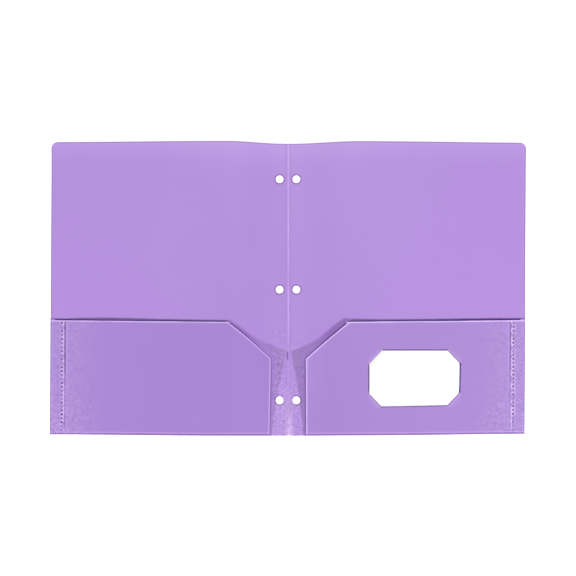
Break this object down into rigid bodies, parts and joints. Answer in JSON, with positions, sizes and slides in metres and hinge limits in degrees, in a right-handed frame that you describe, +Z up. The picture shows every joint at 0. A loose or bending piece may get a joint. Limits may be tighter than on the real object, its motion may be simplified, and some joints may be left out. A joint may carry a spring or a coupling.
{
  "type": "two-pocket ring-binder folder",
  "caption": "Flat plastic folder lying open, with slanted inside pockets, ring holes beside a creased spine and a card held in corner slits.",
  "frame": {"origin": "on the surface the open folder lies on, under the middle of the spine", "axes": "+X from the spine to the back cover's leaf, +Y to the top edge, +Z up out of the inside faces"},
  "size_m": [0.4628, 0.285, 0.0022],
  "materials": {
    "cover_sheet": "satin, slightly translucent",
    "pocket_sheet": "satin, slightly translucent",
    "crease": "satin, paler where the sheet is pressed thin",
    "card": "smooth uncoated"
  },
  "bodies": {
    "back_leaf": {"back_cover": "cover_sheet", "back_weld_tab": "cover_sheet", "back_side_fold": "pocket_sheet", "back_bottom_fold": "pocket_sheet", "back_pocket_panel": "pocket_sheet", "card_flap_upper_inner": "pocket_sheet", "card_flap_upper_outer": "pocket_sheet", "card_flap_lower_inner": "pocket_sheet", "card_flap_lower_outer": "pocket_sheet", "business_card": "card"},
    "spine": {"spine_strip": "cover_sheet", "front_crease_web": "crease", "back_crease_web": "crease"},
    "front_leaf": {"front_cover": "cover_sheet", "front_weld_tab": "cover_sheet", "front_side_fold": "pocket_sheet", "front_bottom_fold": "pocket_sheet", "front_pocket_panel": "pocket_sheet"}
  },
  "joints": [
    {"name": "back_crease_fold", "type": "hinge", "parent": "back_leaf", "child": "spine", "pos_m": [0.00185, 0, 0.00022], "axis": [0, 1, 0], "range_deg": [0, 90]},
    {"name": "front_crease_fold", "type": "hinge", "parent": "spine", "child": "front_leaf", "pos_m": [-0.00185, 0, 0.00022], "axis": [0, 1, 0], "range_deg": [0, 90]}
  ]
}
